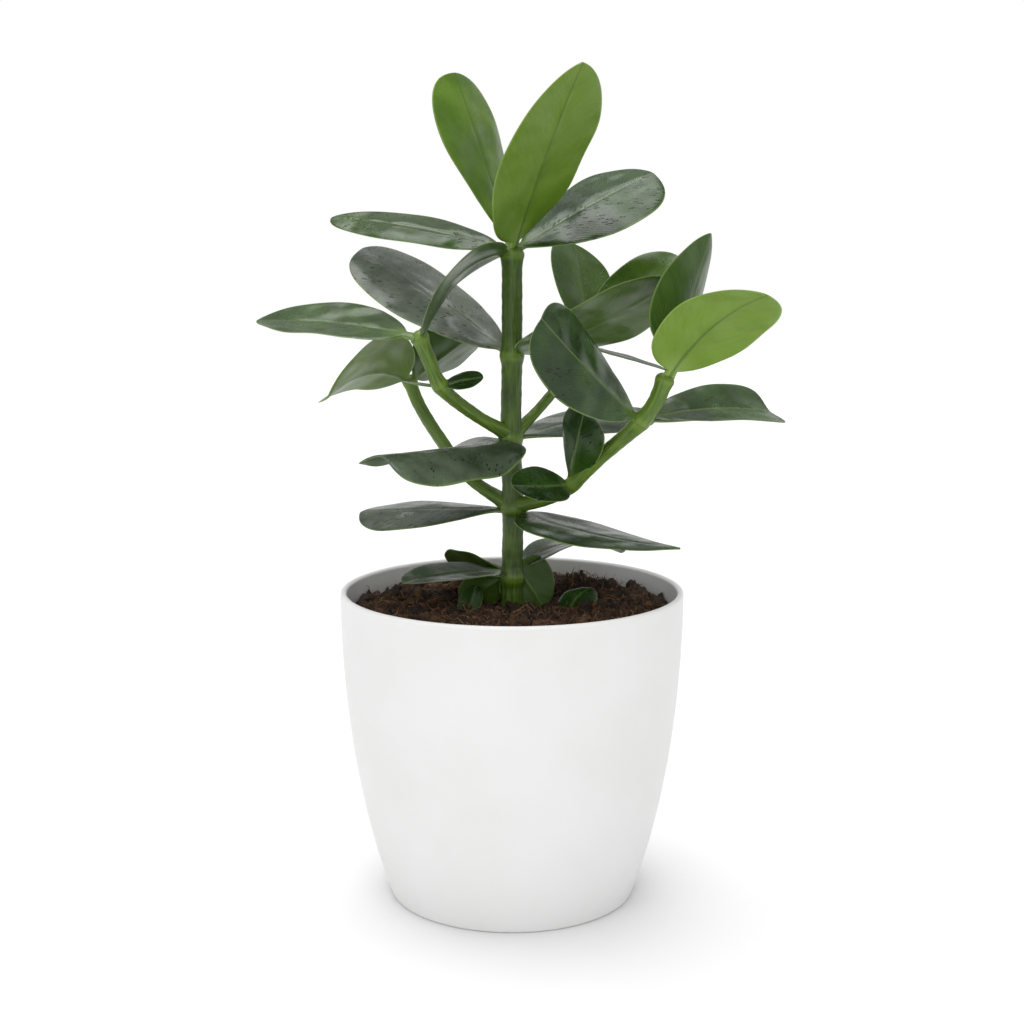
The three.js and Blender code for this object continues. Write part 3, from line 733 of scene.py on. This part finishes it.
# heading is a leaf's compass angle at its base (0 is +X, 90 is +Y) and rise its angle above level. By the
# tip, droop has lowered it and sway has turned it. roll turns the blade about its length and twist adds to
# that by the tip. cup bends its sides up. base and tip shape the outline at each end: the lower, the blunter.
# Angles are in degrees, and lengths and widths in mm. leaf_mid_left and leaf_right_outer have blunter tips
# than their CAD nodes.
LEAVES = {
    "leaf_crown_front": {
        "start": TOP, "heading": -68, "rise": 52, "droop": 9, "sway": 4, "roll": 31, "twist": -22,
        "length": 105, "width": 53, "cup": -3, "base": 0.5, "tip": 0.65, "young": True,
    },
    "leaf_crown_back": {
        "start": TOP, "heading": 154, "rise": 72, "droop": 4, "roll": -4, "twist": -8, "length": 86,
        "width": 46, "cup": -6, "base": 0.8, "tip": 0.42,
    },
    "leaf_top_left": {
        "start": TOP, "heading": 156, "rise": 17, "droop": 15, "roll": -28, "length": 96, "width": 26,
        "cup": -4, "base": 0.6, "tip": 0.48,
    },
    "leaf_top_right": {
        "start": TOP, "heading": 14, "rise": 32, "droop": 9, "sway": 12, "roll": 25, "length": 79,
        "width": 50, "cup": -8, "base": 0.7, "tip": 0.42,
    },
    "leaf_top_curled": {
        "start": TOP, "heading": -136, "rise": 3, "droop": 74, "sway": -6, "roll": 30, "twist": 12,
        "length": 69, "width": 40, "cup": -2, "base": 0.65, "tip": 0.5,
    },
    "leaf_upper_left": {
        "start": UPPER, "heading": 154, "rise": 34, "droop": 5, "roll": -20, "length": 93, "width": 47,
        "cup": -8, "base": 0.6, "tip": 0.36,
    },
    "leaf_upper_right": {
        "start": UPPER, "heading": -22, "rise": 17, "droop": -15, "roll": -8, "twist": -22,
        "length": 84, "width": 54, "cup": -2, "base": 0.32, "tip": 0.44,
    },
    "leaf_mid_left": {
        "start": MID, "heading": -134, "rise": -2, "droop": -4, "roll": -4, "twist": -4, "length": 81,
        "width": 48, "cup": -24, "base": 0.16, "tip": 0.14,
    },
    "leaf_mid_right": {
        "start": MID, "heading": 40, "rise": 11, "droop": 11, "roll": 3, "twist": 9, "length": 88,
        "width": 44, "cup": -6, "base": 0.65, "tip": 0.5,
    },
    "leaf_mid_back": {
        "start": MID, "heading": 160, "rise": -15, "droop": 12, "roll": 5, "length": 38, "width": 18,
        "cup": 0, "base": 0.7, "tip": 0.6,
    },
    "leaf_low_left": {
        "start": LOW, "heading": 166, "rise": 0, "droop": 6, "sway": 6, "roll": -11, "length": 74,
        "width": 40, "cup": -8, "base": 1, "tip": 0.46,
    },
    "leaf_low_right": {
        "start": LOW, "heading": -33, "rise": -13, "droop": -14, "roll": 1, "length": 89, "width": 44,
        "cup": -3, "base": 0.42, "tip": 0.9,
    },
    "leaf_foot_left": {
        "start": FOOT, "heading": -151, "rise": 9, "droop": 16, "roll": -8, "length": 57, "width": 25,
        "cup": 8, "base": 0.56, "tip": 0.5,
    },
    "leaf_foot_right": {
        "start": FOOT, "heading": 40, "rise": 30, "droop": 58, "roll": -4, "length": 74, "width": 30,
        "cup": 8, "base": 0.56, "tip": 0.54,
    },
    "leaf_foot_back": {
        "start": FOOT, "heading": 132, "rise": 0, "droop": 4, "roll": 34, "length": 46, "width": 30,
        "cup": 5, "base": 0.6, "tip": 0.6,
    },
    "leaf_foot_hanging_right": {
        "start": (0, 5, 20.5), "heading": 5, "rise": -50, "droop": 12, "roll": -95, "length": 27,
        "width": 27, "cup": 8, "base": 0.3, "tip": 0.55,
    },
    "leaf_foot_hanging_left": {
        "start": FOOT, "heading": 170, "rise": -25, "droop": 20, "roll": 75, "length": 29, "width": 19,
        "cup": 6, "base": 0.6, "tip": 0.5,
    },
    "leaf_soil_left": {
        "start": (-22, -5, -6.5), "heading": 65, "rise": 58, "droop": 10, "roll": -5, "length": 20,
        "width": 13, "cup": 8, "base": 0.6, "tip": 0.6,
    },
    "leaf_soil_right": {
        "start": (24, -4, -6.5), "heading": 50, "rise": 62, "droop": 60, "roll": 10, "length": 26,
        "width": 18, "cup": -10, "base": 0.5, "tip": 0.45,
    },
    "leaf_low_branch_left": {
        "start": LOW_LEFT_END, "heading": -124, "rise": 26, "droop": 58, "roll": 40, "length": 63,
        "width": 48, "cup": 11, "base": 0.6, "tip": 0.5,
    },
    "leaf_low_branch_right": {
        "start": LOW_LEFT_END, "heading": 8, "rise": 40, "droop": 10, "roll": -39, "length": 42,
        "width": 49, "cup": 12, "base": 0.6, "tip": 0.4,
    },
    "leaf_mid_branch_end": {
        "start": MID_LEFT_END, "heading": 163, "rise": 12, "droop": 15, "roll": -18, "length": 78,
        "width": 41, "cup": 7, "base": 0.64, "tip": 0.7,
    },
    "leaf_mid_branch_right": {
        "start": MID_LEFT_JOINT, "heading": -10, "rise": 17, "droop": 10, "roll": 38, "length": 20,
        "width": 12, "cup": 0, "base": 0.8, "tip": 0.6,
    },
    "leaf_mid_branch_left": {
        "start": MID_LEFT_JOINT, "heading": 170, "rise": 6, "droop": 0, "roll": 10, "length": 18,
        "width": 8, "cup": 0, "base": 0.8, "tip": 0.6,
    },
    "leaf_right_oval": {
        "start": LOW_RIGHT_JOINT, "heading": -74, "rise": 67, "droop": 9, "roll": -59, "length": 40,
        "width": 26, "cup": 12, "base": 0.9, "tip": 0.46,
    },
    "leaf_right_inward": {
        "start": LOW_RIGHT_JOINT, "heading": -141, "rise": 2, "droop": -6, "roll": -44, "length": 35,
        "width": 21, "cup": 8, "base": 0.4, "tip": 0.5,
    },
    "leaf_right_inner": {
        "start": LOW_RIGHT_FORK, "heading": -134, "rise": 32, "droop": -12, "sway": -8, "roll": 107,
        "twist": -5, "length": 77, "width": 40, "cup": 11, "base": 0.75, "tip": 0.36,
    },
    "leaf_right_outer": {
        "start": LOW_RIGHT_FORK, "heading": 28, "rise": 12, "droop": 22, "roll": 24, "length": 71,
        "width": 37, "cup": 10, "base": 0.62, "tip": 0.14,
    },
    "leaf_right_bright": {
        "start": LOW_RIGHT_END, "heading": -52, "rise": 51, "droop": 36, "roll": -19, "length": 70,
        "width": 46, "cup": -3, "base": 0.46, "tip": 0.42, "young": True,
    },
    "leaf_right_upright": {
        "start": LOW_RIGHT_END, "heading": -18, "rise": 74, "roll": 160, "length": 65, "width": 41,
        "cup": -18, "base": 0.7, "tip": 0.75,
    },
    "leaf_back_tall": {
        "start": MID_RIGHT_END, "heading": 100, "rise": 61, "droop": 16, "roll": 30, "length": 61,
        "width": 40, "cup": 5, "base": 0.7, "tip": 0.46, "young": True,
    },
    "leaf_back_wide": {
        "start": MID_RIGHT_END, "heading": 21, "rise": 48, "droop": 10, "roll": 33, "length": 63,
        "width": 36, "cup": 9, "base": 0.6, "tip": 0.52, "young": True,
    },
    "leaf_back_thin": {
        "start": MID_RIGHT_END, "heading": -15, "rise": -10, "droop": 10, "roll": 0, "length": 40,
        "width": 14, "cup": 0, "base": 0.6, "tip": 0.8,
    },
}

# How fresh a leaf looks, from 0 for dark and full-grown to 1 for the newest.
FRESHNESS = {
    "leaf_crown_front": 0.72,
    "leaf_crown_back": 0.62,
    "leaf_top_left": 0.12,
    "leaf_right_bright": 0.95,
    "leaf_back_tall": 0.26,
    "leaf_back_wide": 0.32,
    "leaf_low_branch_left": 0.62,
    "leaf_mid_branch_end": 0.1,
    "leaf_upper_right": 0.14,
    "leaf_right_outer": 0.06,
    "leaf_foot_hanging_left": 0.15,
}
# How much painted grey sheen a leaf carries, from 0 to 1: a reflection painted into its colour.
PAINTED_SHEEN = {
    "leaf_upper_left": 0.62,
    "leaf_mid_left": 0.3,
    "leaf_low_left": 0.35,
    "leaf_foot_left": 0.15,
    "leaf_low_branch_left": 0.2,
}
# Leaves that are rolled over, whose lower side is the darker one
TURNED = ("leaf_right_inner", "leaf_right_upright", "leaf_right_oval")

PETIOLE_LENGTH = 0.07
PETIOLE_WIDTH = 4.6
PETIOLE_THICKNESS = 2.8
BASE_FLARE = 0.5  # widening of a leaf's stalk where it clasps its stem
BLADE_THICKNESS = 1.3
FULL_WIDTH = 42  # mm; a narrower leaf is a little thinner, and its margin waves less
MARGIN_WAVES = (0.9, 1.6, 2.6)  # waves along the leaf
WAVE_HEIGHTS = (0.15, 0.4)
RIB_GROOVE = 0.4  # depth along the midrib above
RIB_RIDGE = 0.75  # height along the midrib below
ROWS = 72
HALF_COLUMNS = np.sin(np.linspace(0, 1, 15) * math.pi / 2) ** 1.4  # closer together by the midrib and margin
COLUMNS = np.concatenate([-HALF_COLUMNS[:0:-1], HALF_COLUMNS])


def midrib(leaf, shares):
    """The midrib's points at these shares of its length, with its along, left and up directions."""
    fine = np.linspace(0, 1, 241)
    middles = (fine[1:] + fine[:-1]) / 2

    def direction(at):
        rise = np.radians(leaf["rise"] - leaf.get("droop", 0) * at)
        heading = np.radians(leaf["heading"] + leaf.get("sway", 0) * at)
        flat = np.cos(rise)
        return np.stack([flat * np.cos(heading), flat * np.sin(heading), np.sin(rise)], axis=1)

    steps = direction(middles) * leaf["length"] / len(middles)
    track = np.vstack([[0, 0, 0], np.cumsum(steps, axis=0)]) + np.add(leaf["start"], (0, 0, SOIL_LEVEL))
    points = np.stack([np.interp(shares, fine, track[:, k]) for k in range(3)], axis=1)
    along = direction(shares)
    heading = np.radians(leaf["heading"] + leaf.get("sway", 0) * shares)
    level = np.stack([-np.sin(heading), np.cos(heading), 0 * heading], axis=1)
    roll = np.radians(leaf["roll"] + leaf.get("twist", 0) * shares)[:, None]
    left = level * np.cos(roll) + np.cross(along, level) * np.sin(roll)
    return points, along, left, np.cross(along, left)


def outline(leaf, blade):
    """Half-width of the blade as a share of its widest, from base (0) to tip (1)."""
    base, tip = leaf["base"], leaf["tip"]
    widest = base / (base + tip)
    peak = widest**base * (1 - widest) ** tip
    return blade**base * (1 - blade) ** tip / peak


def leaf_sheet(leaf, rng):
    """Top and bottom points of the leaf, row by row from base to tip, and each one's place on the leaf."""
    t = np.linspace(0, 1, ROWS)
    shares = 0.5 - 0.5 * np.cos(np.pi * t)
    blade = np.clip((shares - PETIOLE_LENGTH) / (1 - PETIOLE_LENGTH), 0, 0.9997)
    half = leaf["width"] / 2 * np.where(blade > 0, outline(leaf, np.maximum(blade, 1e-9)), 0)
    flare = 1 + BASE_FLARE * np.exp(-shares * leaf["length"] / 6)
    stalk = PETIOLE_WIDTH / 2 * flare * (1 - 0.75 * shares) * np.clip((1 - shares) * 12, 0.15, 1)
    half = (half**4 + stalk**4) ** 0.25
    points, along, left, up = midrib(leaf, shares)
    v = COLUMNS[None, :]
    s = shares[:, None]
    cup = np.radians(leaf["cup"]) * np.clip(blade * 4, 0, 1)[:, None]
    bent = np.abs(v) ** 1.5
    waves = 0
    for cycles in MARGIN_WAVES:
        sides = 1 + 0.6 * np.sign(v) * rng.uniform(-1, 1)
        waves = waves + rng.uniform(*WAVE_HEIGHTS) * np.sin(2 * math.pi * (cycles * s + rng.random())) * sides
    ends = np.clip(blade * 5, 0, 1)[:, None] * np.clip((1 - s) * 6, 0.2, 1)
    size = leaf["width"] / FULL_WIDTH
    lift = half[:, None] * np.sin(cup) * bent + waves * v**2 * ends * size
    sideways = half[:, None] * v * np.cos(cup)
    blend = np.clip(s * 5, 0, 1)
    thickness = PETIOLE_THICKNESS * (1 - blend) + BLADE_THICKNESS * size**0.3 * blend * (1 - 0.35 * s)
    power = 2 + 4 * blend
    section = np.sqrt(np.clip(1 - np.abs(v) ** power, 0, 1))
    closing = np.sqrt(np.clip(1 - (2 * np.abs(t - 0.5)) ** 40, 0, 1))[:, None]
    body = thickness * section * closing / 2
    v_mm = half[:, None] * v
    rib_line = np.exp(-((v_mm / (1.1 - 0.5 * s)) ** 2)) * ends * np.clip((1 - s) * 3, 0, 1)
    top = lift + body - RIB_GROOVE * rib_line * blend
    ridge = np.exp(-((v_mm / (1.5 - 0.8 * s)) ** 2)) * ends * np.clip((1 - s) * 2, 0, 1)
    bottom = lift - body - RIB_RIDGE * ridge * blend
    flat = points[:, None, :] + left[:, None, :] * sideways[:, :, None]
    sheets = [flat + up[:, None, :] * level[:, :, None] for level in (top, bottom)]
    place = np.stack([s * leaf["length"] + 0 * v, v_mm, np.full_like(v_mm, rng.uniform(0, 500))], axis=2)
    share = np.stack([s + 0 * v, v + 0 * s], axis=2)
    return sheets, place, share


def leaf_mesh(leaf, rng):
    """A closed leaf: the top sheet, and a bottom sheet that shares the top's edge points."""
    (top, bottom), place, share = leaf_sheet(leaf, rng)
    rows, columns = top.shape[:2]
    number = np.arange(rows * columns).reshape(rows, columns)
    edge = np.zeros((rows, columns), dtype=bool)
    edge[0, :] = edge[-1, :] = edge[:, 0] = edge[:, -1] = True
    below = number.copy()
    below[~edge] = rows * columns + np.arange((~edge).sum())
    points = np.concatenate([top.reshape(-1, 3), bottom[~edge]])
    middle = (top + bottom) / 2
    points[number[edge]] = middle[edge]
    side = np.where(edge, 0.0, 1.0)
    top_share = np.dstack([share, side]).reshape(-1, 3)
    bottom_share = np.dstack([share, -np.ones_like(side)])[~edge]
    attributes = {
        "leaf_share": np.concatenate([top_share, bottom_share]),
        "leaf_place": np.concatenate([place.reshape(-1, 3), place[~edge]]),
    }
    faces = []
    for i in range(rows - 1):
        for j in range(columns - 1):
            faces.append((number[i, j], number[i + 1, j], number[i + 1, j + 1], number[i, j + 1]))
            faces.append((below[i, j], below[i, j + 1], below[i + 1, j + 1], below[i + 1, j]))
    faces = [tuple(int(k) for k in f) for f in faces]
    return points * MM, faces, attributes


PLACE_TOLERANCE = 0.012  # mostly for leaf bases, which the nodes lack where they are inside a stem


def check_place(name, points):
    """Stops the script if a fine leaf's box is further from its CAD node's than the tolerance."""
    low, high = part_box(name)
    apart = max(np.abs(points.min(axis=0) - low).max(), np.abs(points.max(axis=0) - high).max())
    if apart > PLACE_TOLERANCE:
        raise ValueError(f"{name} is {apart * 1000:.1f} mm from its place")


FIRST_LEAF_SEED = 100


def add_leaves():
    materials = {slot: leaf_material(slot + "_skin", **look) for slot, look in LEAF_MATERIALS.items()}
    for seed, (name, leaf) in enumerate(LEAVES.items(), start=FIRST_LEAF_SEED):
        points, faces, attributes = leaf_mesh(leaf, random.Random(seed))
        check_place(name, points)
        if name in TURNED:
            attributes["leaf_share"][:, 2] *= -1
        # the second value is the leaf's amount of painted grey sheen
        look = (FRESHNESS.get(name, 0.0), PAINTED_SHEEN.get(name, 0.0), 0.0)
        attributes["leaf_look"] = np.tile(look, (len(points), 1))
        slot = "young_leaf" if leaf.get("young") else "leaf"
        add_piece(name + "_blade", points, faces, materials[slot], name, attributes)


# ------------------------------------------------------------------ build

add_camera()
add_studio()
add_pot()
add_potting_mix()
add_stems()
add_leaves()
